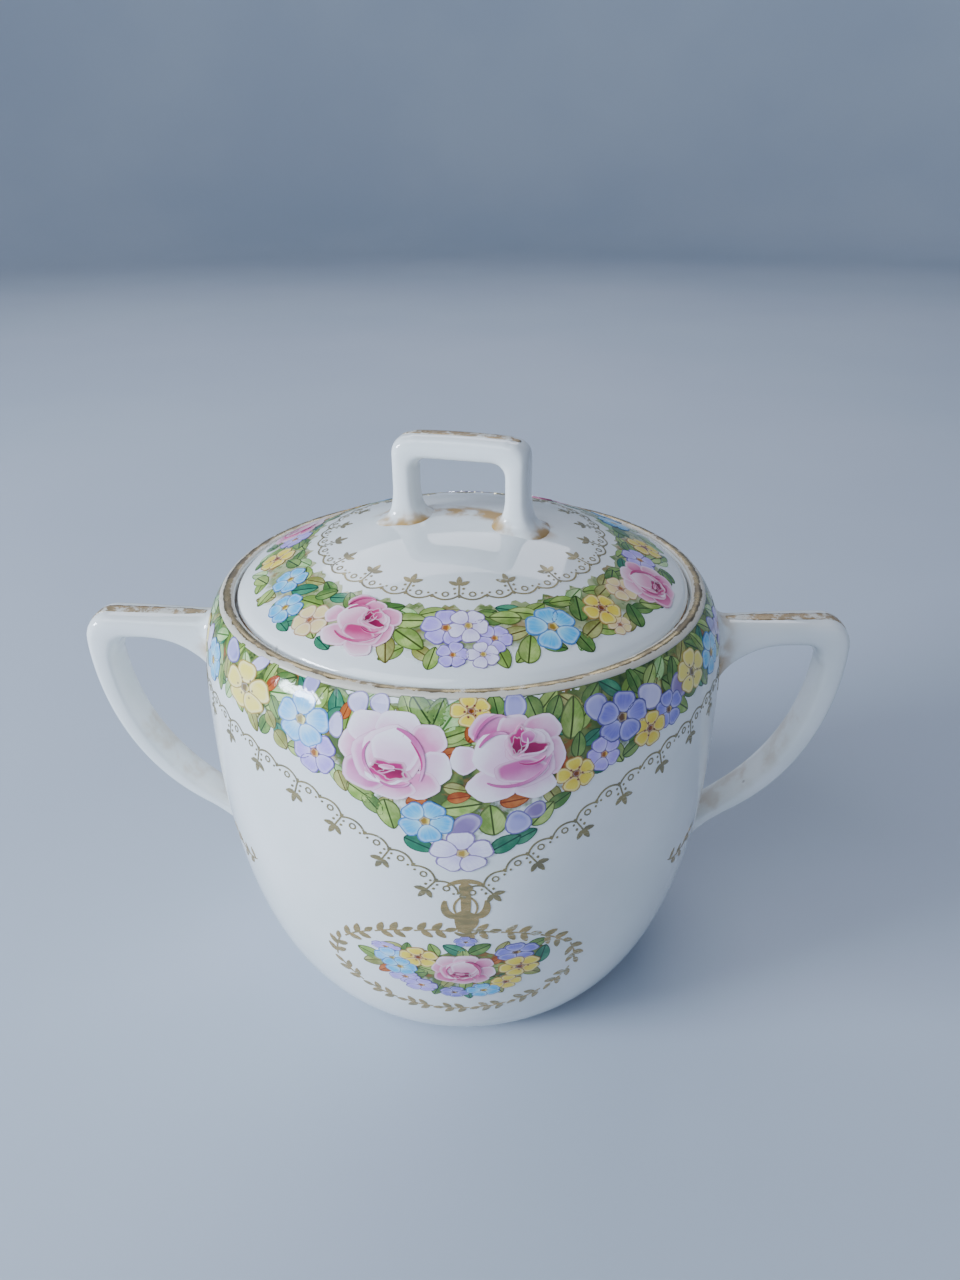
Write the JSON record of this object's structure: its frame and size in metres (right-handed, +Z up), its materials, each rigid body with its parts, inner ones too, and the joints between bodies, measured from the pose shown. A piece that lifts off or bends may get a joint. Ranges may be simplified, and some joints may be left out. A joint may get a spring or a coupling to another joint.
{
  "type": "sugar bowl",
  "caption": "Lidded porcelain sugar bowl, barrel shaped, with two ear handles and a lift-off domed lid with a strap handle.",
  "frame": {"origin": "on the table, under the middle of the foot ring", "axes": "+Z up; +X through the right handle; +Y to the back"},
  "size_m": [0.1392, 0.0926, 0.1055],
  "materials": {
    "porcelain": "clear gloss glaze over white porcelain, with transfer-printed flowers",
    "gilding": "burnished gold, worn thin"
  },
  "bodies": {
    "bowl": {"bowl_body": "porcelain", "left_handle": "porcelain", "right_handle": "porcelain", "bowl_rim_gilding": "gilding", "left_handle_gilding": "gilding", "right_handle_gilding": "gilding"},
    "lid": {"lid_dome": "porcelain", "lid_handle": "porcelain", "lid_edge_gilding": "gilding", "lid_handle_gilding": "gilding"}
  },
  "joints": [
    {"name": "lid_lift", "type": "slide", "parent": "bowl", "child": "lid", "axis": [0, 0, 1], "range_m": [0, 0.05]}
  ]
}
